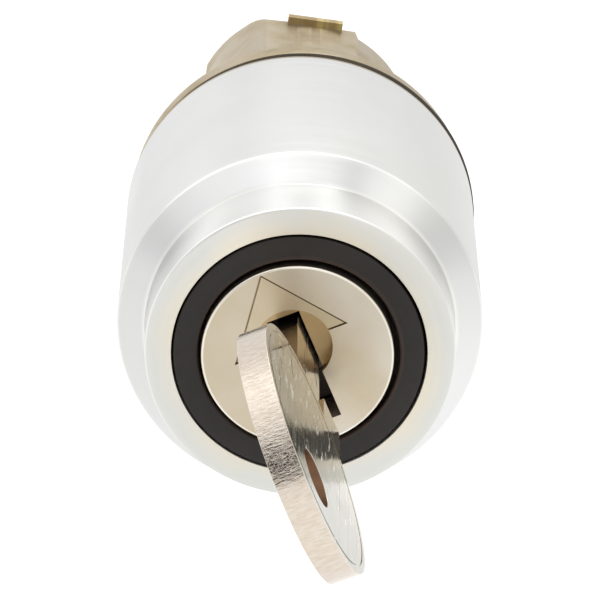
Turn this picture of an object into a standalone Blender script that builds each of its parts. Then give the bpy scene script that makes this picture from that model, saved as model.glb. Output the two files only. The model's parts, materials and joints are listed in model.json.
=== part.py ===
"""Key-operated selector head for a 22 mm panel hole, modelled as the separate pieces it comes apart into.

World frame: the front faces -Y, +Y runs into the panel, +Z is up (the locating lug is on top). The
origin is on the lock's axis, in the plane where the panel gasket meets the panel. Every piece hangs
from the empty panel_seat, in whose own frame X is right, Y is up and Z points at the operator.
Sizes are in millimetres. A depth is measured from the bezel's front face towards the panel.
"""

import math

import bmesh
import bpy
from mathutils import Vector

MM = 0.001
GAP = 0.3
SEAT_DEPTH = 35.25

# Bezel and black ring
BEZEL_FRONT_R = 12.61
BEZEL_BOSS_R = 12.80
BEZEL_BOSS_DEPTH = 5.43
BEZEL_SHOULDER_R = 15.00
BEZEL_SHOULDER_DEPTH = 6.75
BEZEL_REAR_R = 15.17
BEZEL_REAR_DEPTH = 30.34
BEZEL_BORE_R = 13.60
BEZEL_BOSS_BORE_R = 11.40
RING_R = 10.08
RING_INNER_R = 8.20
RING_FLANGE_R = 11.10
RING_FLANGE_DEPTH = 1.90
RING_REAR_DEPTH = 3.00
GASKET_BORE_R = 13.60
BEZEL_GASKET_R = 14.90
BEZEL_GASKET_REAR = 31.60
PANEL_GASKET_R = 13.60
PANEL_GASKET_BORE_R = 11.80

# Fixed body behind the bezel
SPIGOT_R = 13.30
SPIGOT_NOSE_R = 11.10
BODY_FRONT_DEPTH = 4.40
FLANGE_R = 14.85
FLANGE_FRONT_DEPTH = 31.90
FLANGE_REAR_DEPTH = 33.75
BARREL_R = 10.15
BARREL_REAR_DEPTH = 54.00
BODY_BORE_R = 9.20
PAD_TOP = 9.90
PAD_SIDE = 9.32
PAD_ARC_R = 10.32
PAD_ARC_CENTRE = (0.32, 1.13)
LUG_TOP = 10.78
LUG_WIDTH = 5.12
LUG_FRONT_DEPTH = 53.10

# Lock cylinder
SHELL_R = 8.90
SHELL_BORE_R = 5.90
SHELL_FLANGE_R = 9.90
SHELL_FRONT_DEPTH = 3.40
SHELL_FLANGE_REAR = 4.90
SHELL_REAR_DEPTH = 34.00
CAP_R = 7.86
CAP_PROUD = 0.62
CAP_REAR_DEPTH = 3.00
PLUG_R = 5.60
PLUG_FRONT_DEPTH = 3.30
PLUG_REAR_DEPTH = 34.30
TAIL_R = 3.00
TAIL_FLAT = 2.30
TAIL_REAR_DEPTH = 40.80
SEAL_DEPTH = 5.90
SEAL_MAJOR_R = 5.28
SEAL_MINOR_R = 0.38
SEAL_GROOVE_R = 4.60
SEAL_GROOVE_HALF = 0.65
SET_SCREW_DEPTH = 20.00
SET_SCREW_R = 1.35
SET_SCREW_INNER = 8.10
SET_SCREW_OUTER = 12.60
HEX_SOCKET_R = 0.70

# Turning: the key and arrow rest this far to the left of the lug, and turn through the throw
REST_TURN = math.radians(30.0)
THROW = math.radians(60.0)

# Key: a thick bow and shoulder on a thinner neck and blade. Heights lie along the keyway
BOW_SIDES = (-1.05, 1.33)
BOW_R = 10.30
BOW_CENTRE = 20.12
BOW_HOLE_R = 2.40
BOW_HOLE_CENTRE = 25.60
BLADE_THICK = 1.90
NECK_TOP = 2.90
NECK_BOTTOM = -1.80
BLADE_HALF = 2.85
BLADE_TIP_DEPTH = 24.50
SHOULDER_LENGTH = 6.50
SHOULDER_BOTTOM = -5.20
KEYWAY_WIDTH = BLADE_THICK + 2 * GAP

# Lock face
SLOT_WIDTH = 2.80
SLOT_TOP = 3.20
SLOT_BOTTOM = -6.10
RECESS_R = 3.20
RECESS_OFFSET = 0.90
RECESS_DEEP = 1.25
ARROW_TIP = 7.55
ARROW_BASE = 1.20
ARROW_HALF = 4.88
ARROW_DEEP = 0.15

# Wafers
WAFER_DEPTHS = [10.0, 13.0, 16.0, 19.0, 22.0]
WAFER_THICK = 1.20
WAFER_HALF_WIDTH = 2.50
WAFER_R = 5.45
WAFER_TRAVEL = 0.70
WAFER_TAB = (4.30, 0.90, 1.90)
SPRING_POCKET_X = 4.60
SPRING_POCKET_HALF = 2.80
GROOVE_HALF_WIDTH = 2.90
GROOVE_HEIGHTS = (4.00, 6.70)
CUT_DEPTHS = [0.5, 0.9, 0.3, 0.7, 0.5]

# Detent, cam and plungers
DETENT_CIRCLE_R = 7.30
BALL_R = 0.90
BALL_DEPTH = 33.50
DIMPLE_R = 1.30
DIMPLE_LIFT = 0.60
DETENT_POCKET_DEPTH = 27.50
PLATE_R = 8.70
PLATE_FRONT_DEPTH = 34.70
PLATE_REAR_DEPTH = 37.00
CAM_R = 8.50
CAM_HUB_R = 4.50
CAM_FRONT_DEPTH = 37.30
CAM_LOW_DEPTH = 40.00
CAM_HIGH_DEPTH = 43.00
CAM_HUB_DEPTH = 41.10
CAM_DWELL = math.radians(40.0)
CAM_SCREW_FRONT = 36.60
CAM_SCREW_R = 1.20
CAM_SCREW_HEAD_R = 3.00
CAM_SCREW_HEAD = 1.50
PLUNGER_CIRCLE_R = 6.30
PLUNGER_STEM_R = 1.50
PLUNGER_COLLAR_R = 2.30
PLUNGER_COLLAR = (1.20, 2.20)
PLUNGER_LENGTH = 13.20
REAR_PLATE_R = 9.25
REAR_PLATE_BORE_R = 1.60
REAR_PLATE_FRONT = 50.00
REAR_PLATE_REAR = 51.90
CIRCLIP_FRONT = 52.30
CIRCLIP_REAR = 53.10
CIRCLIP_R = 9.65
CIRCLIP_BORE_R = 8.30
CIRCLIP_MOUTH_HALF = 2.20

FINE = 72
MEDIUM = 48
COARSE = 28
SMALL = 20


def clear_scene():
    for obj in list(bpy.data.objects):
        bpy.data.objects.remove(obj, do_unlink=True)


def new_collection(name):
    collection = bpy.data.collections.new(name)
    bpy.context.scene.collection.children.link(collection)
    return collection


def material(name, colour, roughness, metallic):
    made = bpy.data.materials.new(name)
    made.use_nodes = True
    shader = made.node_tree.nodes["Principled BSDF"]
    shader.inputs["Base Color"].default_value = (*colour, 1.0)
    shader.inputs["Roughness"].default_value = roughness
    shader.inputs["Metallic"].default_value = metallic
    return made


def height(depth):
    """The Z of a depth in panel_seat's frame, in metres."""
    return (SEAT_DEPTH - depth) * MM


def place(name, mesh, parent, finish=None, at=(0.0, 0.0, 0.0)):
    """Links a mesh as a piece, or as a cutter when it has no finish."""
    obj = bpy.data.objects.new(name, mesh)
    obj.parent = parent
    obj.location = at
    if finish is None:
        CUTTERS.objects.link(obj)
        obj.hide_render = True
        obj.display_type = "WIRE"
    else:
        PARTS.objects.link(obj)
        mesh.materials.append(material(name, *finish))
    return obj


def mesh_from(build):
    """A mesh filled by build, a function that is given an empty bmesh."""
    bm = bmesh.new()
    build(bm)
    bmesh.ops.recalc_face_normals(bm, faces=bm.faces)
    mesh = bpy.data.meshes.new("shape")
    bm.to_mesh(mesh)
    bm.free()
    return mesh


def shade(obj):
    obj.data.shade_smooth()
    obj.data.set_sharp_from_angle(angle=math.radians(30))


def turned(name, outline, parent, finish=None, steps=MEDIUM):
    """A turned solid. Outline points are (radius, depth), down the outside and back up the inside."""
    mesh = bpy.data.meshes.new(name)
    points = [(radius * MM, 0.0, height(depth)) for radius, depth in outline]
    closed = outline[0][0] > 0
    edges = [(i, i + 1) for i in range(len(points) - 1)]
    if closed:
        edges.append((len(points) - 1, 0))
    mesh.from_pydata(points, edges, [])
    obj = place(name, mesh, parent, finish)
    screw = obj.modifiers.new("turn", "SCREW")
    screw.axis = "Z"
    screw.steps = steps
    screw.render_steps = steps
    screw.use_merge_vertices = True
    screw.merge_threshold = 0.00001
    screw.use_smooth_shade = True
    return obj


def cylinder(name, radius, front, rear, parent, finish=None, at=(0.0, 0.0), steps=COARSE):
    def build(bm):
        size = {"radius1": radius * MM, "radius2": radius * MM, "depth": (rear - front) * MM}
        bmesh.ops.create_cone(bm, cap_ends=True, segments=steps, **size)

    centre = (at[0] * MM, at[1] * MM, height((front + rear) / 2))
    return place(name, mesh_from(build), parent, finish, centre)


def ball(name, radius, depth, parent, finish=None, at=(0.0, 0.0), steps=16):
    def build(bm):
        bmesh.ops.create_uvsphere(bm, u_segments=steps, v_segments=steps // 2, radius=radius * MM)

    return place(name, mesh_from(build), parent, finish, (at[0] * MM, at[1] * MM, height(depth)))


def box(name, low, high, front, rear, parent, finish=None):
    """A block between two (x, y) corners and two depths."""
    size = Vector((high[0] - low[0], high[1] - low[1], rear - front)) * MM

    def build(bm):
        bmesh.ops.create_cube(bm, size=1.0)
        bmesh.ops.scale(bm, vec=size, verts=bm.verts)

    centre = ((low[0] + high[0]) / 2 * MM, (low[1] + high[1]) / 2 * MM, height((front + rear) / 2))
    return place(name, mesh_from(build), parent, finish, centre)


def prism(name, corners, front, rear, parent, finish=None):
    """A flat outline of (x, y) corners, given thickness between two depths."""

    def build(bm):
        face = bm.faces.new([bm.verts.new((x * MM, y * MM, height(rear))) for x, y in corners])
        made = bmesh.ops.extrude_face_region(bm, geom=[face])["geom"]
        rise = Vector((0.0, 0.0, (rear - front) * MM))
        bmesh.ops.translate(bm, vec=rise, verts=[v for v in made if isinstance(v, bmesh.types.BMVert)])

    return place(name, mesh_from(build), parent, finish)


def combine(obj, others, operation):
    for other in others:
        step = obj.modifiers.new(f"{operation.lower()}_{other.name}", "BOOLEAN")
        step.operation = operation
        step.object = other


def cut(obj, *cutters):
    combine(obj, cutters, "DIFFERENCE")


def join(obj, *others):
    combine(obj, others, "UNION")


def coil(name, radius, wire, start, end, turns, parent, finish, across=False):
    """A round-wire spring from start to end, along Z or, across the keyway, along Y."""
    per_turn = 8
    count = int(turns * per_turn) + 1
    curve = bpy.data.curves.new(name, "CURVE")
    curve.dimensions = "3D"
    curve.bevel_depth = wire * MM
    curve.bevel_resolution = 0
    curve.use_fill_caps = True
    spline = curve.splines.new("POLY")
    spline.points.add(count - 1)
    for index in range(count):
        angle = 2 * math.pi * index / per_turn
        along = (start + (end - start) * index / (count - 1)) * MM
        x, y = radius * MM * math.cos(angle), radius * MM * math.sin(angle)
        spline.points[index].co = (x, along, y, 1.0) if across else (x, y, along, 1.0)
    curve.materials.append(material(name, *finish))
    obj = bpy.data.objects.new(name, curve)
    obj.parent = parent
    PARTS.objects.link(obj)
    return obj


def polar(radius, angle):
    return radius * math.cos(angle), radius * math.sin(angle)


def band(outer, inner, front, rear):
    """The outline of a plain ring."""
    return [(outer, front), (outer, rear), (inner, rear), (inner, front)]


# Finishes: colour, roughness, metallic
ALUMINIUM = ((0.80, 0.80, 0.79), 0.38, 1.0)
BLACK_PLASTIC = ((0.030, 0.028, 0.027), 0.45, 0.0)
NICKEL = ((0.66, 0.60, 0.50), 0.25, 1.0)
CHROMATE = ((0.58, 0.47, 0.27), 0.35, 1.0)
RUBBER = ((0.020, 0.020, 0.020), 0.75, 0.0)
BRASS = ((0.70, 0.52, 0.25), 0.35, 1.0)
STEEL = ((0.55, 0.55, 0.56), 0.35, 1.0)
WHITE_NYLON = ((0.75, 0.73, 0.68), 0.50, 0.0)
RED_NYLON = ((0.45, 0.05, 0.04), 0.50, 0.0)


def make_bezel(seat):
    outline = [
        (BEZEL_FRONT_R - 0.25, 0.0),
        (BEZEL_FRONT_R, 0.25),
        (BEZEL_BOSS_R, BEZEL_BOSS_DEPTH),
        (BEZEL_SHOULDER_R, BEZEL_SHOULDER_DEPTH),
        (BEZEL_REAR_R, BEZEL_REAR_DEPTH),
        (BEZEL_BORE_R, BEZEL_REAR_DEPTH),
        (BEZEL_BORE_R, BEZEL_SHOULDER_DEPTH + 1.45),
        (BEZEL_BOSS_BORE_R, BEZEL_SHOULDER_DEPTH + 0.45),
        (BEZEL_BOSS_BORE_R, RING_FLANGE_DEPTH - GAP),
        (RING_R + GAP, RING_FLANGE_DEPTH - GAP),
        (RING_R + GAP, 0.0),
    ]
    turned("bezel", outline, seat, ALUMINIUM, FINE)


def make_face_ring(seat):
    outline = [
        (RING_R - 0.20, 0.0),
        (RING_R, 0.20),
        (RING_R, RING_FLANGE_DEPTH),
        (RING_FLANGE_R, RING_FLANGE_DEPTH),
        (RING_FLANGE_R, RING_REAR_DEPTH),
        (RING_INNER_R, RING_REAR_DEPTH),
        (RING_INNER_R, 0.25),
        (RING_INNER_R + 0.25, 0.0),
    ]
    turned("face_ring", outline, seat, BLACK_PLASTIC)


def make_gaskets(seat):
    front = BEZEL_REAR_DEPTH + GAP
    turned("bezel_gasket", band(BEZEL_GASKET_R, GASKET_BORE_R, front, BEZEL_GASKET_REAR), seat, RUBBER)
    front = FLANGE_REAR_DEPTH + GAP
    turned("panel_gasket", band(PANEL_GASKET_R, PANEL_GASKET_BORE_R, front, SEAT_DEPTH), seat, RUBBER)


def pad_outline():
    """The raised top of the barrel: an upright left side, an arc, a flat top and a short right chamfer."""
    centre_x, centre_y = PAD_ARC_CENTRE
    first = math.acos((-PAD_SIDE - centre_x) / PAD_ARC_R)
    last = math.asin((PAD_TOP - 0.18 - centre_y) / PAD_ARC_R)
    corners = [(-PAD_SIDE, 2.50)]
    for index in range(9):
        turn = first + (math.pi - last - first) * index / 8
        across, up = polar(PAD_ARC_R, turn)
        corners.append((centre_x + across, centre_y + up))
    return corners + [(3.71, PAD_TOP), (4.02, 9.36), (8.00, 2.50)]


def make_operator_body(seat):
    shell_seat = SHELL_FLANGE_REAR + GAP
    plate_seat = REAR_PLATE_FRONT - GAP
    groove = [CIRCLIP_FRONT - GAP, CIRCLIP_REAR + GAP]
    outline = [
        (SPIGOT_NOSE_R, BODY_FRONT_DEPTH),
        (SPIGOT_NOSE_R, 8.00),
        (SPIGOT_R, 9.00),
        (SPIGOT_R, FLANGE_FRONT_DEPTH),
        (FLANGE_R, FLANGE_FRONT_DEPTH),
        (FLANGE_R, FLANGE_REAR_DEPTH),
        (BARREL_R, FLANGE_REAR_DEPTH),
        (BARREL_R, BARREL_REAR_DEPTH - 0.40),
        (BARREL_R - 0.35, BARREL_REAR_DEPTH),
        (REAR_PLATE_R + GAP, BARREL_REAR_DEPTH),
        (REAR_PLATE_R + GAP, groove[1]),
        (REAR_PLATE_R + 2 * GAP, groove[1]),
        (REAR_PLATE_R + 2 * GAP, groove[0]),
        (REAR_PLATE_R + GAP, groove[0]),
        (REAR_PLATE_R + GAP, plate_seat),
        (BODY_BORE_R, plate_seat),
        (BODY_BORE_R, shell_seat),
        (SHELL_FLANGE_R + GAP, shell_seat),
        (SHELL_FLANGE_R + GAP, BODY_FRONT_DEPTH),
    ]
    body = turned("operator_body", outline, seat, CHROMATE, MEDIUM)
    half_lug = LUG_WIDTH / 2
    pad_block = prism("pad_block", pad_outline(), FLANGE_REAR_DEPTH - 0.20, BARREL_REAR_DEPTH, seat)
    low, high = (-half_lug, PAD_TOP - 1.0), (half_lug, LUG_TOP)
    lug_block = box("lug_block", low, high, LUG_FRONT_DEPTH, BARREL_REAR_DEPTH - 0.02, seat)
    hollow_r = REAR_PLATE_R + 2 * GAP + 0.15
    hollow = cylinder("hollow", hollow_r, FLANGE_FRONT_DEPTH, BARREL_REAR_DEPTH + 1.0, seat, steps=MEDIUM)
    cut(pad_block, hollow)
    cut(lug_block, hollow)
    hole_r = SET_SCREW_R + GAP
    hole = cross_hole("shell_screw_hole", hole_r, SHELL_R - 0.10, FLANGE_R, SET_SCREW_DEPTH, seat)
    join(body, pad_block, lug_block)
    cut(body, hole)


def cross_hole(name, radius, inner, outer, depth, seat, finish=None, steps=20):
    """A round hole, or pin, that points down from the axis, between two distances from it."""
    obj = cylinder(name, radius, 0.0, outer - inner, seat, finish, steps=steps)
    obj.location = (0.0, -(inner + outer) / 2 * MM, height(depth))
    obj.rotation_euler = (math.pi / 2, 0.0, 0.0)
    return obj


def make_shell_set_screw(seat):
    ends = (SET_SCREW_INNER, SET_SCREW_OUTER)
    screw = cross_hole("shell_set_screw", SET_SCREW_R, *ends, SET_SCREW_DEPTH, seat, STEEL)
    floor = SET_SCREW_OUTER - 1.20
    cut(screw, cross_hole("hex_socket", HEX_SOCKET_R, floor, FLANGE_R, SET_SCREW_DEPTH, seat, steps=6))


def make_lock_shell(seat):
    outline = [
        (SHELL_FLANGE_R, SHELL_FRONT_DEPTH),
        (SHELL_FLANGE_R, SHELL_FLANGE_REAR),
        (SHELL_R, SHELL_FLANGE_REAR),
        (SHELL_R, SHELL_REAR_DEPTH),
        (SHELL_BORE_R, SHELL_REAR_DEPTH),
        (SHELL_BORE_R, SHELL_FRONT_DEPTH),
    ]
    shell = turned("lock_shell", outline, seat, BRASS)
    groove_front = WAFER_DEPTHS[0] - 2.0
    groove_rear = WAFER_DEPTHS[-1] + 2.0
    for name, turn in (("rest", REST_TURN), ("turned", REST_TURN - THROW)):
        low, high = GROOVE_HEIGHTS
        wide = GROOVE_HALF_WIDTH
        groove = box(f"wafer_groove_{name}", (-wide, low), (wide, high), groove_front, groove_rear, seat)
        groove.location = polar_location(groove, turn)
        groove.rotation_euler = (0.0, 0.0, turn)
        cut(shell, groove)
    for side, sign in SIDES:
        ends = (DETENT_POCKET_DEPTH, SHELL_REAR_DEPTH + 1.0)
        at = (sign * DETENT_CIRCLE_R, 0.0)
        cut(shell, cylinder(f"detent_pocket_{side}", BALL_R + GAP, *ends, seat, at=at, steps=SMALL))
    ends = (SET_SCREW_INNER - 2 * GAP, SHELL_R + 1.0)
    cut(shell, cross_hole("shell_dimple", SET_SCREW_R + GAP, *ends, SET_SCREW_DEPTH, seat))


def polar_location(obj, turn):
    """Where obj's origin goes when the piece is turned about the lock's axis."""
    x, y, z = obj.location
    return (x * math.cos(turn) - y * math.sin(turn), x * math.sin(turn) + y * math.cos(turn), z)


def make_rotor_cap(rotor):
    outline = [
        (0.0, -CAP_PROUD),
        (CAP_R - 0.20, -CAP_PROUD),
        (CAP_R, 0.20 - CAP_PROUD),
        (CAP_R, 2.40),
        (CAP_R - 0.60, CAP_REAR_DEPTH),
        (0.0, CAP_REAR_DEPTH),
    ]
    cap = turned("rotor_cap", outline, rotor, NICKEL)
    slot_half = SLOT_WIDTH / 2
    arrow = [(-ARROW_HALF, ARROW_BASE), (ARROW_HALF, ARROW_BASE), (0.0, ARROW_TIP)]
    front = -CAP_PROUD - 1.0
    arrow_cut = prism("arrow_cut", arrow, front, ARROW_DEEP - CAP_PROUD, rotor)
    at = (0.0, RECESS_OFFSET)
    recess = cylinder("recess", RECESS_R, front, RECESS_DEEP - CAP_PROUD, rotor, at=at)
    low, high = (-slot_half, SLOT_BOTTOM), (slot_half, SLOT_TOP)
    slot = box("cap_slot", low, high, front, CAP_REAR_DEPTH + 1.0, rotor)
    cut(cap, arrow_cut, recess, slot)


def make_lock_plug(rotor):
    outline = [
        (0.0, PLUG_FRONT_DEPTH),
        (PLUG_R, PLUG_FRONT_DEPTH),
        (PLUG_R, SEAL_DEPTH - SEAL_GROOVE_HALF),
        (SEAL_GROOVE_R, SEAL_DEPTH - SEAL_GROOVE_HALF),
        (SEAL_GROOVE_R, SEAL_DEPTH + SEAL_GROOVE_HALF),
        (PLUG_R, SEAL_DEPTH + SEAL_GROOVE_HALF),
        (PLUG_R, PLUG_REAR_DEPTH),
        (TAIL_R, PLUG_REAR_DEPTH),
        (TAIL_R, TAIL_REAR_DEPTH),
        (0.0, TAIL_REAR_DEPTH),
    ]
    plug = turned("lock_plug", outline, rotor, BRASS)
    slot_half = KEYWAY_WIDTH / 2
    blade_half = BLADE_HALF + GAP
    low, high = (-slot_half, -blade_half), (slot_half, blade_half)
    cut(plug, box("keyway", low, high, PLUG_FRONT_DEPTH - 1.0, BLADE_TIP_DEPTH + 0.8, rotor))
    half_thick = WAFER_THICK / 2 + GAP
    half_wide = WAFER_HALF_WIDTH + GAP
    for number, depth in enumerate(WAFER_DEPTHS, 1):
        front, rear = depth - half_thick, depth + half_thick
        beyond = PLUG_R + 1.0
        slot = box(f"wafer_slot_{number}", (-half_wide, -beyond), (half_wide, beyond), front, rear, rotor)
        low, high = (half_wide - 0.5, -SPRING_POCKET_HALF), (SPRING_POCKET_X, SPRING_POCKET_HALF)
        cut(plug, slot, box(f"spring_pocket_{number}", low, high, front, rear, rotor))
    for side, sign in SIDES:
        low, high = sorted((sign * TAIL_FLAT, sign * (TAIL_R + 1.0)))
        ends = (PLUG_REAR_DEPTH + 0.2, TAIL_REAR_DEPTH + 1.0)
        cut(plug, box(f"tail_flat_{side}", (low, -PLUG_R), (high, PLUG_R), *ends, rotor))
    ends = (CAM_SCREW_FRONT - 2 * GAP, TAIL_REAR_DEPTH + 1.0)
    cut(plug, cylinder("tail_hole", CAM_SCREW_R + GAP, *ends, rotor, steps=SMALL))


def make_rotor_seal(rotor):
    ring = []
    for index in range(8):
        across, along = polar(SEAL_MINOR_R, -2 * math.pi * index / 8)
        ring.append((SEAL_MAJOR_R + across, SEAL_DEPTH - along))
    turned("rotor_seal", ring, rotor, RUBBER, COARSE)


def make_wafers(rotor):
    slot_half = KEYWAY_WIDTH / 2
    bottom = -(BLADE_HALF + GAP + WAFER_TRAVEL)
    for number, depth in enumerate(WAFER_DEPTHS, 1):
        front, rear = depth - WAFER_THICK / 2, depth + WAFER_THICK / 2
        wafer = cylinder(f"wafer_{number}", WAFER_R, front, rear, rotor, BRASS)
        wide, tall = WAFER_HALF_WIDTH, WAFER_R + 0.5
        sides = box(f"wafer_width_{number}", (-wide, -tall), (wide, tall), front - 1, rear + 1, rotor)
        combine(wafer, [sides], "INTERSECT")
        low, high = (-slot_half, bottom), (slot_half, BLADE_HALF + GAP)
        cut(wafer, box(f"wafer_window_{number}", low, high, front - 1, rear + 1, rotor))
        tab_side, tab_low, tab_high = WAFER_TAB
        low, high = (wide - 0.6, tab_low), (tab_side, tab_high)
        join(wafer, box(f"wafer_tab_{number}", low, high, front, rear, rotor))
        ends = (0.20 - SPRING_POCKET_HALF, tab_low - 0.2)
        spring = coil(f"wafer_spring_{number}", 0.46, 0.12, *ends, 4, rotor, STEEL, across=True)
        spring.location = (3.62 * MM, 0.0, height(depth))


def make_detent(seat, rotor):
    outline = band(PLATE_R, TAIL_R + GAP, PLATE_FRONT_DEPTH, PLATE_REAR_DEPTH)
    plate = turned("detent_plate", outline, rotor, STEEL)
    for side, sign in SIDES:
        first = 0.0 if sign > 0 else math.pi
        for place_name, turn in (("rest", first), ("turned", first + THROW)):
            spot = polar(DETENT_CIRCLE_R, turn - REST_TURN)
            centre = PLATE_FRONT_DEPTH - DIMPLE_LIFT
            cut(plate, ball(f"dimple_{side}_{place_name}", DIMPLE_R, centre, rotor, at=spot, steps=14))
        here = (sign * DETENT_CIRCLE_R, 0.0)
        ball(f"detent_ball_{side}", BALL_R, BALL_DEPTH, seat, STEEL, here, steps=16)
        rear = SEAT_DEPTH - (BALL_DEPTH - BALL_R - GAP)
        front = SEAT_DEPTH - (DETENT_POCKET_DEPTH + GAP)
        spring = coil(f"detent_spring_{side}", 0.64, 0.13, rear + 0.1, front - 0.1, 5, seat, STEEL)
        spring.location = (here[0] * MM, 0.0, 0.0)


def cam_depth(angle):
    """Depth of the cam's working face at an angle from world +X, anticlockwise from the front, at rest."""
    angle = angle % math.pi
    rise = CAM_HIGH_DEPTH - CAM_LOW_DEPTH
    if angle < THROW:
        return CAM_LOW_DEPTH + rise * angle / THROW
    if angle < THROW + CAM_DWELL:
        return CAM_HIGH_DEPTH
    if angle < THROW + 2 * CAM_DWELL:
        return CAM_HIGH_DEPTH - rise * (angle - THROW - CAM_DWELL) / CAM_DWELL
    return CAM_LOW_DEPTH


def make_drive_cam(rotor):
    """A face cam with two equal lobes: each rises over the throw, dwells, and falls back."""
    flat = CAM_FRONT_DEPTH + 1.50
    outline = [
        (CAM_R, CAM_FRONT_DEPTH),
        (CAM_R, flat),
        (CAM_HUB_R, flat),
        (CAM_HUB_R, CAM_HUB_DEPTH),
        (TAIL_R + GAP, CAM_HUB_DEPTH),
        (TAIL_R + GAP, CAM_FRONT_DEPTH),
    ]
    blank = turned("cam_blank", outline, rotor, None, FINE)
    bpy.context.view_layer.update()
    mesh = bpy.data.meshes.new_from_object(blank.evaluated_get(bpy.context.evaluated_depsgraph_get()))
    bpy.data.objects.remove(blank, do_unlink=True)
    for vertex in mesh.vertices:
        if abs(vertex.co.z - height(flat)) < 0.01 * MM:
            angle = math.atan2(vertex.co.y, vertex.co.x) + REST_TURN
            vertex.co.z = height(cam_depth(angle))
    mesh.materials.clear()
    place("drive_cam", mesh, rotor, WHITE_NYLON)


def make_cam_screw(rotor):
    under = CAM_HUB_DEPTH + 0.40
    top = under + CAM_SCREW_HEAD
    outline = [
        (0.0, CAM_SCREW_FRONT),
        (CAM_SCREW_R, CAM_SCREW_FRONT),
        (CAM_SCREW_R, under),
        (CAM_SCREW_HEAD_R, under),
        (CAM_SCREW_HEAD_R, top - 0.30),
        (CAM_SCREW_HEAD_R - 0.40, top),
        (0.0, top),
    ]
    screw = turned("cam_screw", outline, rotor, STEEL, SMALL)
    beyond = CAM_SCREW_HEAD_R + 1.0
    cut(screw, box("screw_slot", (-0.4, -beyond), (0.4, beyond), top - 0.80, top + 1.0, rotor))


def make_plungers(seat):
    """Both plungers rest on the cam's low stretches, so both go out as the lock turns."""
    tip = CAM_LOW_DEPTH + GAP
    collar_front, collar_rear = (tip + place_along for place_along in PLUNGER_COLLAR)
    outline = [
        (0.0, tip),
        (0.30, tip),
        (PLUNGER_STEM_R, collar_front),
        (PLUNGER_COLLAR_R, collar_front),
        (PLUNGER_COLLAR_R, collar_rear),
        (PLUNGER_STEM_R, collar_rear),
        (PLUNGER_STEM_R, tip + PLUNGER_LENGTH - 0.30),
        (PLUNGER_STEM_R - 0.30, tip + PLUNGER_LENGTH),
        (0.0, tip + PLUNGER_LENGTH),
    ]
    wire = 0.20
    front = SEAT_DEPTH - (collar_rear + GAP + wire)
    rear = SEAT_DEPTH - (REAR_PLATE_FRONT - GAP - wire)
    for side, sign in SIDES:
        x = sign * PLUNGER_CIRCLE_R * MM
        turned(f"plunger_{side}", outline, seat, RED_NYLON, SMALL).location.x = x
        coil(f"plunger_spring_{side}", 2.05, wire, rear, front, 4, seat, STEEL).location.x = x


def make_rear_plate(seat):
    outline = band(REAR_PLATE_R, REAR_PLATE_BORE_R, REAR_PLATE_FRONT, REAR_PLATE_REAR)
    plate = turned("rear_plate", outline, seat, BLACK_PLASTIC, COARSE)
    ends = (REAR_PLATE_FRONT - 1.0, REAR_PLATE_REAR + 1.0)
    for side, sign in SIDES:
        at = (sign * PLUNGER_CIRCLE_R, 0.0)
        cut(plate, cylinder(f"plunger_hole_{side}", PLUNGER_STEM_R + GAP, *ends, seat, at=at, steps=SMALL))


def make_rear_circlip(seat):
    outline = band(CIRCLIP_R, CIRCLIP_BORE_R, CIRCLIP_FRONT, CIRCLIP_REAR)
    ring = turned("rear_circlip", outline, seat, STEEL)
    low = (-CIRCLIP_MOUTH_HALF, -CIRCLIP_R - 1.0)
    high = (CIRCLIP_MOUTH_HALF, 1.0 - CIRCLIP_BORE_R)
    cut(ring, box("circlip_mouth", low, high, CIRCLIP_FRONT - 1.0, CIRCLIP_REAR + 1.0, seat))


def plate(name, corners, sides, parent, finish=None):
    """A flat outline of (height, depth) corners, given thickness between two places across the keyway."""

    def build(bm):
        low, high = sides
        face = bm.faces.new([bm.verts.new((low * MM, y * MM, height(depth))) for y, depth in corners])
        made = bmesh.ops.extrude_face_region(bm, geom=[face])["geom"]
        rise = Vector(((high - low) * MM, 0.0, 0.0))
        bmesh.ops.translate(bm, vec=rise, verts=[v for v in made if isinstance(v, bmesh.types.BMVert)])

    return place(name, mesh_from(build), parent, finish)


def blade_edge(side):
    """The cut edge of the blade from its shoulder to its tip, as (height, depth), on one side."""
    points = [(side * BLADE_HALF, PLUG_FRONT_DEPTH - 0.1)]
    for depth, deep in zip(WAFER_DEPTHS, CUT_DEPTHS):
        floor = side * (BLADE_HALF - deep)
        points.append((side * BLADE_HALF, depth - 0.5 - deep))
        points.append((floor, depth - 0.5))
        points.append((floor, depth + 0.5))
        points.append((side * BLADE_HALF, depth + 0.5 + deep))
    points.append((side * BLADE_HALF, BLADE_TIP_DEPTH - 1.2))
    points.append((side * 1.2, BLADE_TIP_DEPTH))
    return points


def arc(radius, centre, start, end, steps):
    """Points of an arc as (height, depth). The angle runs from the keyway's top towards the operator."""
    points = []
    for index in range(steps + 1):
        across, out = polar(radius, start + (end - start) * index / steps)
        points.append((across, centre - out))
    return points


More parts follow.
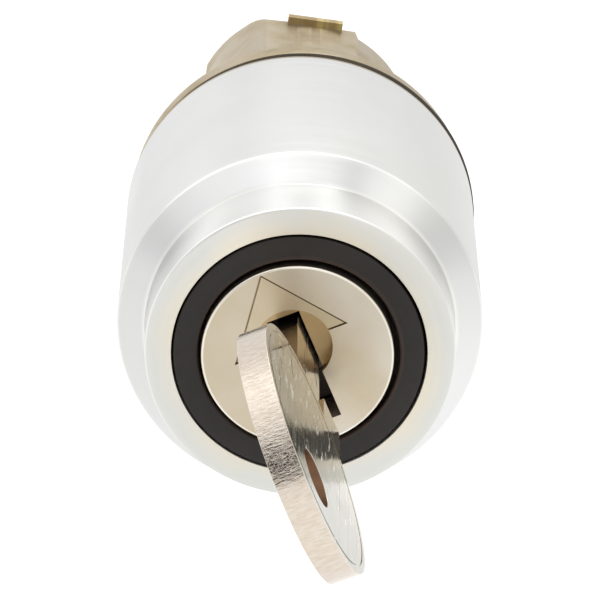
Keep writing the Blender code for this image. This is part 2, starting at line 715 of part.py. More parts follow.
def make_key(rotor):
    """A flat key: round bow with a square shoulder, and a thinner neck and blade cut on both edges."""
    shoulder_turn = math.acos(SHOULDER_BOTTOM / BOW_R)
    last = math.acos(NECK_BOTTOM / BOW_R)
    outline = arc(BOW_R, -BOW_CENTRE, -last, 2 * math.pi - shoulder_turn, 72)
    outline += [(SHOULDER_BOTTOM, -SHOULDER_LENGTH), (NECK_BOTTOM, -SHOULDER_LENGTH)]
    key = plate("key", outline, BOW_SIDES, rotor, NICKEL)
    neck_front = -SHOULDER_LENGTH - 4.0
    neck_rear = PLUG_FRONT_DEPTH - 2 * GAP
    blade = [(NECK_TOP, neck_front), (NECK_BOTTOM, neck_front), (NECK_BOTTOM, neck_rear)]
    blade += [(-BLADE_HALF, neck_rear)] + blade_edge(-1) + blade_edge(1)[::-1]
    blade += [(BLADE_HALF, neck_rear), (NECK_TOP, neck_rear)]
    half = BLADE_THICK / 2
    join(key, plate("key_blade", blade, (-half, half), rotor))
    hole = arc(BOW_HOLE_R, -BOW_HOLE_CENTRE, 0.0, 2 * math.pi, 28)[:-1]
    cut(key, plate("key_hole", hole, (-2.0, 2.0), rotor))


SIDES = (("left", -1), ("right", 1))
clear_scene()
PARTS = new_collection("selector_key_switch")
CUTTERS = new_collection("cutters")


def main():
    seat = bpy.data.objects.new("panel_seat", None)
    seat.rotation_euler = (math.pi / 2, 0.0, 0.0)
    rotor = bpy.data.objects.new("rotor_axis", None)
    rotor.parent = seat
    rotor.rotation_euler = (0.0, 0.0, REST_TURN)
    for empty in (seat, rotor):
        PARTS.objects.link(empty)
    make_bezel(seat)
    make_face_ring(seat)
    make_gaskets(seat)
    make_operator_body(seat)
    make_lock_shell(seat)
    make_shell_set_screw(seat)
    make_rotor_cap(rotor)
    make_lock_plug(rotor)
    make_rotor_seal(rotor)
    make_wafers(rotor)
    make_detent(seat, rotor)
    make_drive_cam(rotor)
    make_cam_screw(rotor)
    make_plungers(seat)
    make_rear_plate(seat)
    make_rear_circlip(seat)
    make_key(rotor)
    for obj in PARTS.objects:
        if obj.type == "MESH":
            shade(obj)


main()
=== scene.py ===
"""The looks of a key-operated selector head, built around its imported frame.

The frame's world: the front faces -Y, +Y runs into the panel, +Z is up. Shapes here are drawn in a
front frame, whose X is right and Y is up, in millimetres. A depth is measured from the bezel's front
face towards the panel.
"""

import json
import math

import bmesh
import bpy
from mathutils import Matrix, Vector


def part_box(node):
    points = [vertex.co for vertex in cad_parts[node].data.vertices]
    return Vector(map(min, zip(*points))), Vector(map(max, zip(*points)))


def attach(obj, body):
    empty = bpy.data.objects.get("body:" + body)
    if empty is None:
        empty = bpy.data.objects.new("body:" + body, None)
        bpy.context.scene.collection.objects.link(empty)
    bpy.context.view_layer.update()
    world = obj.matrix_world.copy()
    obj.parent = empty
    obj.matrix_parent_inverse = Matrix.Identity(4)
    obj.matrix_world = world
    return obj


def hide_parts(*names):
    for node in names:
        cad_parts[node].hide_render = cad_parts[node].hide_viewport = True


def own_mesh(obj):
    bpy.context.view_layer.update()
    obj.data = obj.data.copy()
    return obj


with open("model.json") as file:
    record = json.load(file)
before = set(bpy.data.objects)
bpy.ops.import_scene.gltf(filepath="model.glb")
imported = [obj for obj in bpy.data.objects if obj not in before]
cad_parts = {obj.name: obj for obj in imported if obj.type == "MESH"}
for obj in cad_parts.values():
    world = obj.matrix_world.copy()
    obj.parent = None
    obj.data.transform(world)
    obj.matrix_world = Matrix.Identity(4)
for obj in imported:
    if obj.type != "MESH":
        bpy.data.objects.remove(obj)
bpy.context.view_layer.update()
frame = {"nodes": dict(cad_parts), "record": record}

MM = 0.001
SEAT_DEPTH = -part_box("bezel")[0].y / MM
REST_TURN = math.radians(30.0)
INTO = Vector((0.0, 1.0, 0.0))
SIDES = (("left", -1), ("right", 1))

# Steps round a turned piece, and along each rounded corner of its outline.
ROUND = 192
LARGE_ROUND = 256
CORNER_STEPS = 4
SMALL_ROUNDING = 0.12

# Pieces that sit a little off the lock's axis, as (right, up).
BORE_PLAY = (-0.05, -0.08)
RING_PLAY = (-0.08, -0.11)
CAP_PLAY = (-0.20, -0.04)
GASKET_PLAY = (0.22, -0.08)

# The lock face.
CAP_FRONT = -0.62
CAP_R = 7.86
CAP_ROUNDING = 0.20

# The key: heights across it, depths along it, and its thickness from its middle plane.
BOW_R = 10.30
BOW_CENTRE = -20.12
BOW_SIDES = (-1.05, 1.33)
BOW_HOLE_R = 2.40
BOW_HOLE_CENTRE = -25.60
BOW_GROOVE = (9.50, 9.72)
BOW_GROOVE_DEEP = 0.05
NECK_TOP = 2.90
NECK_BOTTOM = -1.80
NECK_DEPTH = -10.5
SHOULDER_BOTTOM = -5.20
SHOULDER_DEPTH = -6.50
STEP_DEPTH = 2.70
BLADE_SIDES = (-0.95, 0.95)
BLADE_HALF = 2.85
BLADE_CUTS = ((10.0, 0.5), (13.0, 0.9), (16.0, 0.3), (19.0, 0.7), (22.0, 0.5))

PLUNGER_CIRCLE_R = 6.30


# ---------------------------------------------------------------- camera, light and floor

CAMERA_LEAN = math.radians(8.1)
CAMERA_TILT = 0.3855
CAMERA_RISE = 0.14220
CAMERA_BACK = 0.33886
CAMERA_LENS = 271.1

LAMPS = (
    ("overhead", 1.8, (0.35, 0.6), (0.0, 0.25, 0.75)),
    ("front", 0.25, (0.5, 0.3), (0.0, -0.75, 0.62)),
    ("left", 0.5, (0.55, 0.55), (-0.60, -0.05, 0.70)),
)
LAMP_AIM = Vector((0.0, -0.01, 0.0))

WALL_TONES = (
    (0.00, (1.00, 1.00, 1.00)),
    (0.16, (1.00, 1.00, 1.00)),
    (0.30, (0.96, 0.96, 0.965)),
    (0.52, (0.99, 0.99, 0.99)),
    (0.85, (0.92, 0.92, 0.92)),
)
DARK_PATCH_AIM = (-0.355, -0.912, 0.175)


def make_camera():
    """A long lens a little above the axis, leaning with the head, which stands turned about its axis."""
    right = Vector((math.cos(CAMERA_LEAN), 0.0, math.sin(CAMERA_LEAN)))
    up = Vector((-math.sin(CAMERA_LEAN), 0.0, math.cos(CAMERA_LEAN)))
    forward = INTO * math.cos(CAMERA_TILT) - up * math.sin(CAMERA_TILT)
    top = up * math.cos(CAMERA_TILT) + INTO * math.sin(CAMERA_TILT)
    place = up * CAMERA_RISE - INTO * (CAMERA_BACK + SEAT_DEPTH * MM)
    data = bpy.data.cameras.new("camera")
    data.sensor_width = 36.0
    data.lens = CAMERA_LENS
    data.clip_start = 0.01
    data.clip_end = 20.0
    camera = bpy.data.objects.new("camera", data)
    camera.matrix_world = Matrix.Translation(place) @ Matrix((right, top, -forward)).transposed().to_4x4()
    bpy.context.scene.collection.objects.link(camera)
    bpy.context.scene.camera = camera


def make_floor():
    bpy.ops.mesh.primitive_plane_add(size=6.0, location=(0.0, 0.0, -0.060))
    floor = bpy.context.object
    floor.name = "floor"
    paint = new_material("floor_white", (0.93, 0.93, 0.93), 0.0, 0.9)[0]
    floor.data.materials.append(paint)


def make_softbox(name, power, size, place):
    data = bpy.data.lights.new(name, "AREA")
    data.shape = "RECTANGLE"
    data.energy = power
    data.size, data.size_y = size
    lamp = bpy.data.objects.new(name, data)
    lamp.location = place
    lamp.rotation_euler = (LAMP_AIM - Vector(place)).to_track_quat("-Z", "Y").to_euler()
    bpy.context.scene.collection.objects.link(lamp)


def make_light():
    """A white room with slightly uneven walls, a dark patch where the operator stands, and soft lamps."""
    world = bpy.data.worlds.new("studio")
    world.use_nodes = True
    tree = world.node_tree
    direction = node(tree, "TexCoord").outputs["Generated"]
    aim = parts_of(tree, direction)
    front = spread(tree, aim["Y"], -0.8, 0.2, 1.14, 1.06)
    above = spread(tree, aim["Z"], 0.0, 0.5, 0.94, 1.0)
    right = spread(tree, aim["X"], 0.45, 0.90, 1.0, 0.90)
    toward = vector_value(tree, "DOT_PRODUCT", direction, DARK_PATCH_AIM)
    patch = spread(tree, toward, 0.945, 0.969, 1.0, 0.0)
    background = tree.nodes["Background"]
    tree.links.new(ramp(tree, maths(tree, "ABSOLUTE", aim["X"]), WALL_TONES), background.inputs["Color"])
    tree.links.new(product(tree, front, above, right, patch), background.inputs["Strength"])
    bpy.context.scene.world = world
    for lamp in LAMPS:
        make_softbox(*lamp)
    bpy.context.scene.view_settings.view_transform = "Standard"


# ---------------------------------------------------------------- material helpers


def node(tree, kind, inputs=None, **settings):
    made = tree.nodes.new("ShaderNode" + kind)
    for key, value in settings.items():
        setattr(made, key, value)
    for key, value in (inputs or {}).items():
        if isinstance(value, bpy.types.NodeSocket):
            tree.links.new(value, made.inputs[key])
        else:
            made.inputs[key].default_value = value
    return made


def rgb(*colour):
    return (*colour, 1.0)


def darkened(colour, *shares):
    """The colour with each of its parts multiplied by its own share, or all of them by the one given."""
    return rgb(*(part * share for part, share in zip(colour, shares * 3)))


def maths(tree, operation, first, second=0.0):
    return node(tree, "Math", {0: first, 1: second}, operation=operation).outputs[0]


def total(tree, first, second):
    return maths(tree, "ADD", first, second)


def product(tree, first, *others):
    for other in others:
        first = maths(tree, "MULTIPLY", first, other)
    return first


def vector_value(tree, operation, first, second=(0.0, 0.0, 0.0)):
    return node(tree, "VectorMath", {0: first, 1: second}, operation=operation).outputs["Value"]


def scaled(tree, vector, scale):
    return node(tree, "VectorMath", {0: vector, "Scale": scale}, operation="SCALE").outputs[0]


def stretched(tree, vector, scale, rotation=(0.0, 0.0, 0.0)):
    return node(tree, "Mapping", {"Vector": vector, "Scale": scale, "Rotation": rotation}).outputs[0]


def noise(tree, scale, vector=None, detail=3.0, rough=0.5, w=None):
    """A noise value. With w it runs along one line only."""
    inputs = {"Scale": scale, "Detail": detail, "Roughness": rough}
    if w is not None:
        inputs["W"] = w
        return node(tree, "TexNoise", inputs, noise_dimensions="1D").outputs["Fac"]
    inputs["Vector"] = vector
    return node(tree, "TexNoise", inputs).outputs["Fac"]


def spread(tree, value, low, high, out_low, out_high):
    inputs = {"Value": value, "From Min": low, "From Max": high, "To Min": out_low, "To Max": out_high}
    return node(tree, "MapRange", inputs).outputs["Result"]


def ramp(tree, value, stops):
    made = node(tree, "ValToRGB", {"Fac": value})
    elements = made.color_ramp.elements
    while len(elements) < len(stops):
        elements.new(0.5)
    for element, (position, colour) in zip(elements, stops):
        element.position = position
        element.color = rgb(*colour)
    return made.outputs["Color"]


def mix(tree, factor, first, second):
    made = node(tree, "Mix", data_type="RGBA")
    for index, value in ((0, factor), (6, first), (7, second)):
        if isinstance(value, bpy.types.NodeSocket):
            tree.links.new(value, made.inputs[index])
        else:
            made.inputs[index].default_value = value
    return made.outputs[2]


def place_vector(tree):
    return node(tree, "TexCoord").outputs["Object"]


def parts_of(tree, vector):
    return node(tree, "SeparateXYZ", {"Vector": vector}).outputs


def axis_parts(tree):
    """Distance from the lock's axis, and place along it, in metres."""
    parts = parts_of(tree, place_vector(tree))
    flat = node(tree, "CombineXYZ", {"X": parts["X"], "Z": parts["Z"]}).outputs[0]
    return vector_value(tree, "LENGTH", flat), parts["Y"]


def depth_in_mm(tree, along):
    return total(tree, maths(tree, "DIVIDE", along, MM), SEAT_DEPTH)


def lathe_rings(tree, broad_scale):
    """A fine and a broad noise that run along a turned profile only, as a lathe leaves its rings."""
    radius, along = axis_parts(tree)
    profile = total(tree, along, radius)
    fine = noise(tree, 9000.0, w=profile, detail=2.0)
    return fine, noise(tree, broad_scale, w=profile, detail=2.0)


def bump(tree, height, distance, strength=1.0, after=None):
    inputs = {"Height": height, "Distance": distance, "Strength": strength}
    if after is not None:
        inputs["Normal"] = after
    return node(tree, "Bump", inputs).outputs["Normal"]


def new_material(name, colour, metallic, roughness, **sockets):
    """A Principled material and its tree. Uniform values sit on the shader's own sockets."""
    made = bpy.data.materials.new(name)
    made.use_nodes = True
    shader = made.node_tree.nodes["Principled BSDF"]
    shader.inputs["Base Color"].default_value = rgb(*colour)
    shader.inputs["Metallic"].default_value = metallic
    shader.inputs["Roughness"].default_value = roughness
    for key, value in sockets.items():
        shader.inputs[key.replace("_", " ")].default_value = value
    return made, made.node_tree, shader


def wire(tree, shader, **sockets):
    for key, value in sockets.items():
        tree.links.new(value, shader.inputs[key.replace("_", " ")])


# ---------------------------------------------------------------- materials

# The bezel's base colour by depth, in tens of millimetres, with a painted highlight line on the rounding of
# the front edge and another on the cone's outer edge.
BEZEL_TONES = (
    (0.003, (0.68, 0.68, 0.645)),
    (0.006, (0.90, 0.90, 0.89)),
    (0.013, (0.90, 0.90, 0.89)),
    (0.024, (0.83, 0.83, 0.81)),
    (0.514, (0.83, 0.83, 0.81)),
    (0.529, (0.77, 0.775, 0.77)),
    (0.621, (0.77, 0.775, 0.77)),
    (0.627, (0.93, 0.935, 0.93)),
    (0.635, (0.93, 0.935, 0.93)),
    (0.641, (0.80, 0.805, 0.795)),
)

# Painted sheen: how light each of the bezel's surfaces is painted round the axis, every 10 degrees, and the
# depth it starts at.
SHEEN_TURNS = range(-80, 81, 10)
SHEEN = {
    "face": (
        1.02, 1.03, 1.04, 1.05, 1.07, 1.08, 1.09, 1.06, 1.05, 1.07, 1.09, 1.08, 1.07, 1.05, 1.04, 1.03, 1.02,
    ),
    "boss": (
        1.0, 0.93, 0.90, 1.04, 1.10, 0.96, 0.93, 1.01, 0.82, 0.96, 0.89, 1.05, 1.17, 1.08, 1.02, 1.09, 1.17,
    ),
    "cone": (
        0.90, 0.89, 0.82, 0.95, 1.08, 1.15, 1.12, 1.14, 1.02, 0.92, 0.84, 1.07, 1.09, 0.87, 0.86, 0.99, 1.03,
    ),
    "skirt": (
        0.98, 0.99, 0.99, 1.05, 1.08, 1.05, 0.98, 0.97, 0.94, 0.93, 0.95, 1.0, 1.02, 1.04, 1.05, 1.05, 1.02,
    ),
}
SHEEN_STARTS = (("boss", 0.2), ("cone", 5.2), ("skirt", 6.4))
SHEEN_PEAK = 1.2

CHROMATE_TONES = (
    (0.30, (0.41, 0.375, 0.31)),
    (0.44, (0.48, 0.41, 0.30)),
    (0.58, (0.42, 0.345, 0.225)),
    (0.70, (0.31, 0.255, 0.165)),
)
GOLD_TONES = (
    (0.40, (0.38, 0.27, 0.12)),
    (0.52, (0.42, 0.31, 0.14)),
    (0.66, (0.62, 0.52, 0.21)),
)


def turned_metal(name, colour, roughness):
    """Lathe-turned metal: fine rings round the axis, slight stains and roughness changes."""
    made, tree, shader = new_material(name, colour, 1.0, roughness)
    fine, broad = lathe_rings(tree, 900.0)
    stain = noise(tree, 60.0, place_vector(tree), 4.0)
    stained = spread(tree, stain, 0.35, 0.7, 0.0, 1.0)
    wire(
        tree,
        shader,
        Base_Color=mix(tree, stained, rgb(*colour), darkened(colour, 0.94)),
        Roughness=spread(tree, broad, 0.3, 0.7, roughness - 0.05, roughness + 0.06),
        Normal=bump(tree, total(tree, fine, product(tree, broad, 0.6)), 0.0000012),
    )
    return made


def sheen(tree, turn, zone):
    """Painted sheen: the light and dark reflection streaks that a turned surface shows round its axis, as a
    grey between 0 and 1 of the peak.
    """
    plain = (1.0 / SHEEN_PEAK,) * 3
    stops = [(0.5 + angle / 360, (light / SHEEN_PEAK,) * 3) for angle, light in zip(SHEEN_TURNS, SHEEN[zone])]
    made = ramp(tree, turn, [(0.0, plain), *stops, (1.0, plain)])
    made.node.color_ramp.interpolation = "CARDINAL"
    return made


def bezel_painted_sheen(tree, depth):
    """The painted sheen of the bezel's face, boss, cone and skirt, each from its own depth on."""
    parts = parts_of(tree, place_vector(tree))
    uneven = noise(tree, 55.0, place_vector(tree), 3.0)
    turn = maths(tree, "DIVIDE", maths(tree, "ARCTAN2", parts["X"], parts["Z"]), 2 * math.pi)
    turn = total(tree, turn, spread(tree, uneven, 0.3, 0.7, 0.51, 0.535))
    painted_sheen = sheen(tree, turn, "face")
    for zone, start in SHEEN_STARTS:
        reached = spread(tree, depth, start - 0.1, start + 0.1, 0.0, 1.0)
        painted_sheen = mix(tree, reached, painted_sheen, sheen(tree, turn, zone))
    return painted_sheen


def bezel_aluminium():
    """Fine-turned aluminium: painted sheen streaks round the axis, painted highlight lines at its edges, a
    warm ring and a brown rear rim.
    """
    made, tree, shader = new_material(
        "bezel_aluminium", (0.74, 0.745, 0.735), 0.82, 0.40, Specular_Tint=rgb(0.72, 0.72, 0.72)
    )
    radius, along = axis_parts(tree)
    depth = depth_in_mm(tree, along)
    # The depth zones paint highlight lines on the front edge's rounding and on the cone's outer edge.
    zones = ramp(tree, maths(tree, "DIVIDE", depth, 10.0), BEZEL_TONES)
    cloud = noise(tree, 130.0, place_vector(tree), 2.0)
    reach = total(tree, maths(tree, "DIVIDE", radius, MM), spread(tree, cloud, 0.3, 0.7, 1.0, -1.0))
    near_ring = spread(tree, reach, 10.5, 12.2, 0.80, 0.0)
    on_face = spread(tree, depth, 0.04, 0.20, 1.0, 0.0)
    warm = mix(tree, product(tree, near_ring, on_face), zones, rgb(0.76, 0.70, 0.57))
    stain = noise(tree, 45.0, place_vector(tree), 4.0)
    stained = mix(tree, spread(tree, stain, 0.40, 0.75, 0.0, 0.35), warm, rgb(0.64, 0.61, 0.53))
    rimmed = mix(tree, spread(tree, depth, 29.70, 29.85, 0.0, 1.0), stained, rgb(0.50, 0.43, 0.34))
    # Painted sheen: light and dark reflection streaks round the axis, multiplied into the colour.
    painted_sheen = bezel_painted_sheen(tree, depth)
    sheen_painted_colour = node(tree, "VectorMath", {0: rimmed, 1: painted_sheen}, operation="MULTIPLY").outputs[0]
    fine, broad = lathe_rings(tree, 1600.0)
    wire(
        tree,
        shader,
        Base_Color=scaled(tree, sheen_painted_colour, SHEEN_PEAK),
        Roughness=spread(tree, broad, 0.3, 0.7, 0.34, 0.42),
        Normal=bump(tree, total(tree, fine, broad), 0.0000008),
    )
    return made


def make_materials():
    return {
        "bezel": bezel_aluminium(),
        "steel": turned_metal("machined_steel", (0.56, 0.56, 0.57), 0.34),
        "brass": turned_metal("machined_brass", (0.72, 0.55, 0.29), 0.32),
        "plug": plug_brass(),
        "dark_steel": turned_metal("blackened_steel", (0.24, 0.235, 0.23), 0.40),
        "wire": spring_wire(),
        "ring": ring_plastic(),
        "rubber": gasket_rubber(),
        # The cap's second colour is the painted light on its right side.
        "cap": cap_nickel("cap_nickel", (0.585, 0.52, 0.415), (0.63, 0.585, 0.50)),
        "arrow": cap_nickel("arrow_nickel", (0.565, 0.49, 0.36)),
        "recess": cap_nickel("recess_nickel", (0.46, 0.34, 0.19)),
        "arrow_line": cap_nickel("arrow_line", (0.26, 0.20, 0.125)),
        "slot": moulded("slot_shadow", (0.11, 0.085, 0.062), 0.6),
        "key_hole": cap_nickel("key_hole_wall", (0.46, 0.32, 0.23)),
        "key_face": key_face(),
        "key_rim": key_rim(),
        # A light finish for rounded edges: a painted highlight.
        "painted_edge_highlight": cap_nickel("painted_edge_highlight", (0.86, 0.83, 0.76)),
        "body": chromate(),
        "white_plastic": moulded("cam_plastic", (0.74, 0.72, 0.66), 0.45),
        "red_plastic": moulded("plunger_plastic", (0.45, 0.045, 0.035), 0.42),
        "black_plastic": moulded("plate_plastic", (0.030, 0.029, 0.028), 0.48),
    }


def plug_brass():
    """Machined brass, darkened to near black at the front end, where the key goes in: painted shade in the
    keyway.
    """
    made, tree, shader = new_material("plug_brass", (0.72, 0.55, 0.29), 0.9, 0.40)
    depth = depth_in_mm(tree, axis_parts(tree)[1])
    shade_edge_noise = noise(tree, 500.0, place_vector(tree), 4.0)
    # Painted shade: near black at the front, where the keyway lies in shadow, fading in further back.
    undarkened = spread(tree, total(tree, depth, product(tree, shade_edge_noise, 1.5)), 5.2, 9.0, 0.0, 1.0)
    wire(
        tree,
        shader,
        Base_Color=mix(tree, undarkened, rgb(0.055, 0.040, 0.028), rgb(0.72, 0.55, 0.29)),
        Metallic=spread(tree, undarkened, 0.0, 1.0, 0.1, 0.9),
        Roughness=spread(tree, undarkened, 0.0, 1.0, 0.70, 0.36),
        Normal=bump(tree, shade_edge_noise, 0.00001),
    )
    return made


def spring_wire():
    made, tree, shader = new_material("spring_wire", (0.42, 0.42, 0.43), 1.0, 0.32)
    streak = noise(tree, 2500.0, place_vector(tree), 2.0)
    wire(
        tree,
        shader,
        Base_Color=ramp(tree, streak, [(0.3, (0.30, 0.30, 0.31)), (0.7, (0.50, 0.50, 0.51))]),
        Roughness=spread(tree, streak, 0.3, 0.7, 0.25, 0.42),
    )
    return made


def ring_plastic():
    """Satin black plastic: a faint turned grain, dusty rubs, a shine on its face and a painted brown
    highlight on its inner edge.
    """
    made, tree, shader = new_material("ring_plastic", (0.016, 0.012, 0.009), 0.0, 0.42)
    radius, along = axis_parts(tree)
    grain = noise(tree, 2600.0, w=radius, detail=2.0)
    speck = noise(tree, 1800.0, place_vector(tree), 3.0)
    rubs = noise(tree, 130.0, place_vector(tree), 5.0, 0.65)
    rubbed = ramp(tree, rubs, [(0.38, (0.012, 0.009, 0.007)), (0.72, (0.022, 0.018, 0.015))])
    # Painted highlight: a lighter brown band on the rounded inner edge.
    inner_edge_highlight = spread(tree, radius, 8.35 * MM, 8.55 * MM, 0.8, 0.0)
    wire(
        tree,
        shader,
        Base_Color=mix(tree, inner_edge_highlight, rubbed, rgb(0.045, 0.028, 0.022)),
        Roughness=spread(tree, rubs, 0.3, 0.75, 0.34, 0.52),
        Specular_IOR_Level=spread(tree, depth_in_mm(tree, along), 0.03, 0.12, 0.35, 0.0),
        Normal=bump(tree, speck, 0.00001, 0.5, bump(tree, grain, 0.000004)),
    )
    return made


def gasket_rubber():
    made, tree, shader = new_material(
        "gasket_rubber", (0.030, 0.024, 0.016), 0.0, 0.72, Specular_IOR_Level=0.12
    )
    speck = noise(tree, 2400.0, place_vector(tree), 4.0)
    dust = noise(tree, 220.0, place_vector(tree), 4.0)
    wire(
        tree,
        shader,
        Base_Color=ramp(tree, dust, [(0.35, (0.024, 0.018, 0.011)), (0.75, (0.062, 0.048, 0.031))]),
        Roughness=spread(tree, dust, 0.3, 0.7, 0.62, 0.85),
        Normal=bump(tree, speck, 0.00002),
    )
    return made


def cap_nickel(name, colour, lit_side_colour=None):
    """Warm nickel plate over a die casting: soft ripples, faint tarnish and, when a second colour is given,
    painted light on its right side and a painted highlight towards the upper right.
    """
    made, tree, shader = new_material(name, colour, 1.0, 0.30)
    place = place_vector(tree)
    ripple = noise(tree, 260.0, place, 2.0)
    tarnish = noise(tree, 110.0, place, 5.0, 0.6)
    fine = noise(tree, 3200.0, place, 2.0)
    undarkened = rgb(*colour)
    if lit_side_colour:
        # Painted light: the right side is lighter.
        lit_side = spread(tree, parts_of(tree, place)["X"], 0.5 * MM, 6.5 * MM, 0.0, 1.0)
        undarkened = mix(tree, lit_side, undarkened, rgb(*lit_side_colour))
    tarnished = spread(tree, tarnish, 0.35, 0.7, 0.0, 1.0)
    finish = mix(tree, tarnished, undarkened, darkened(colour, 0.93, 0.89, 0.80))
    if lit_side_colour:
        # Painted highlight towards the upper right.
        corner = vector_value(tree, "DOT_PRODUCT", place, (0.6, 0.0, 0.8))
        painted_highlight = spread(tree, corner, 3.0 * MM, 6.6 * MM, 0.0, 0.5)
        finish = mix(tree, painted_highlight, finish, rgb(0.70, 0.665, 0.595))
    wire(
        tree,
        shader,
        Base_Color=finish,
        Roughness=spread(tree, tarnish, 0.3, 0.7, 0.24, 0.36),
        Normal=bump(tree, fine, 0.0000015, 0.6, bump(tree, ripple, 0.00002)),
    )
    return made


def key_place(tree):
    """The place on the key, turned so that X runs through its thickness, Y along it and Z across it."""
    inputs = {"Vector": place_vector(tree), "Axis": INTO, "Angle": REST_TURN}
    return node(tree, "VectorRotate", inputs, rotation_type="AXIS_ANGLE").outputs[0]


def bow_nicks(tree, place, along):
    """Bright nicks along the key, most of them between the ring hole and the groove round the bow."""
    reach = vector_value(tree, "DISTANCE", place, (0.0, (BOW_CENTRE - SEAT_DEPTH) * MM, 0.0))
    past_hole = spread(tree, reach, 3.5 * MM, 5.0 * MM, 0.0, 1.0)
    before_groove = spread(tree, reach, 8.8 * MM, 9.4 * MM, 1.0, 0.0)
    worn = product(tree, past_hole, before_groove, spread(tree, along, -61.0 * MM, -57.0 * MM, -0.6, 1.0))
    slanted = stretched(tree, place, (1.0, 0.14, 1.0), (0.35, 0.0, 0.0))
    level = total(tree, noise(tree, 2300.0, slanted, 2.0, 0.6), product(tree, worn, 0.08))
    return spread(tree, level, 0.67, 0.71, 0.0, 0.75)


def key_face():
    """Polished nickel plate, near a mirror, greyer towards the bow's end, with scratches and nicks."""
    made, tree, shader = new_material("key_face", (0.70, 0.66, 0.58), 0.90, 0.12)
    place = key_place(tree)
    along = parts_of(tree, place)["Y"]
    lengthwise = stretched(tree, place, (1.0, 0.10, 1.0))
    fine = noise(tree, 2600.0, lengthwise, 3.0, 0.6)
    scratch = noise(tree, 900.0, lengthwise, 2.0, 0.5)
    wave = noise(tree, 150.0, place, 2.0)
    blotch = noise(tree, 160.0, place, 4.0)
    plate = ramp(tree, blotch, [(0.3, (0.62, 0.55, 0.44)), (0.7, (0.72, 0.67, 0.56))])
    edge = total(tree, along, product(tree, wave, 6.0 * MM))
    outer = spread(tree, edge, -54.0 * MM, -40.0 * MM, 1.0, 0.0)
    toned = mix(tree, outer, plate, rgb(0.345, 0.325, 0.262))
    nicks = bow_nicks(tree, place, along)
    deep = spread(tree, scratch, 0.57, 0.61, 0.0, 1.0)
    height = total(tree, product(tree, deep, -1.0), product(tree, fine, 0.03))
    wire(
        tree,
        shader,
        Base_Color=mix(tree, nicks, toned, rgb(0.93, 0.90, 0.84)),
        Roughness=total(tree, spread(tree, fine, 0.35, 0.7, 0.07, 0.18), product(tree, nicks, 0.35)),
        Normal=bump(tree, height, 0.00002, 1.0, bump(tree, wave, 0.00006)),
    )
    return made


def key_rim():
    """The blanked edge of the key: glossy plate, wrinkled across the edge on the bow's upper outer part."""
    made, tree, shader = new_material("key_rim", (0.76, 0.71, 0.63), 1.0, 0.20)
    place = key_place(tree)
    parts = parts_of(tree, place)
    crosswise = stretched(tree, place, (0.25, 1.0, 1.0))
    wrinkle = noise(tree, 5200.0, crosswise, 3.0, 0.65)
    broad = noise(tree, 700.0, crosswise, 3.0)
    patch = noise(tree, 120.0, place, 3.0)
    beyond = spread(tree, parts["Y"], -58.5 * MM, -56.0 * MM, 1.0, 0.25)
    upper = spread(tree, parts["Z"], 1.8 * MM, 3.2 * MM, 0.10, 1.0)
    amount = product(tree, beyond, upper, spread(tree, patch, 0.35, 0.65, 0.6, 1.2))
    wire(
        tree,
        shader,
        Base_Color=ramp(tree, wrinkle, [(0.3, (0.62, 0.53, 0.44)), (0.65, (0.725, 0.655, 0.57))]),
        Roughness=spread(tree, broad, 0.3, 0.7, 0.06, 0.16),
        Normal=bump(tree, product(tree, wrinkle, amount), 0.00006, 1.0, bump(tree, broad, 0.000007)),
    )
    return made


def chromate():
    """Zinc casting with yellow chromate: dull gold with grey and brown clouds, richer on the lug."""
    made, tree, shader = new_material("yellow_chromate", (0.56, 0.46, 0.30), 0.85, 0.46)
    place = place_vector(tree)
    parts = parts_of(tree, place)
    cloud = noise(tree, 150.0, place, 4.0, 0.6)
    tone = spread(tree, parts["X"], -6.0 * MM, -3.0 * MM, 1.06, 0.93)
    toned = scaled(tree, ramp(tree, cloud, CHROMATE_TONES), tone)
    gold = ramp(tree, noise(tree, 700.0, w=parts["X"], detail=2.0), GOLD_TONES)
    high = spread(tree, parts["Z"], 10.08 * MM, 10.22 * MM, 0.0, 0.8)
    rear = spread(tree, parts["Y"], 16.0 * MM, 17.8 * MM, 0.0, 1.0)
    cast = noise(tree, 1300.0, place, 4.0)
    dent = noise(tree, 320.0, place, 2.0)
    wire(
        tree,
        shader,
        Base_Color=mix(tree, product(tree, high, rear), toned, gold),
        Roughness=spread(tree, cloud, 0.3, 0.7, 0.38, 0.54),
        Normal=bump(tree, cast, 0.00002, 0.7, bump(tree, dent, 0.00005)),
    )
    return made


def moulded(name, colour, roughness):
    made, tree, shader = new_material(name, colour, 0.0, roughness)
    speck = noise(tree, 2200.0, place_vector(tree), 3.0)
    cloud = noise(tree, 260.0, place_vector(tree), 3.0)
    clouded = spread(tree, cloud, 0.35, 0.7, 0.0, 1.0)
    wire(
        tree,
        shader,
        Base_Color=mix(tree, clouded, rgb(*colour), darkened(colour, 0.86)),
        Roughness=spread(tree, cloud, 0.3, 0.7, roughness - 0.05, roughness + 0.08),
        Normal=bump(tree, speck, 0.000012, 0.6),
    )
    return made


# ---------------------------------------------------------------- shape helpers


def point(x, y, depth):
    """A place in the front frame, in millimetres, as a world vector in metres."""
    return Vector((x * MM, (depth - SEAT_DEPTH) * MM, y * MM))


def between(start, corner, end, t):
    """The place at t on the curve from start to end that the corner pulls towards itself."""
    return start * (1 - t) ** 2 + corner * 2 * t * (1 - t) + end * t**2


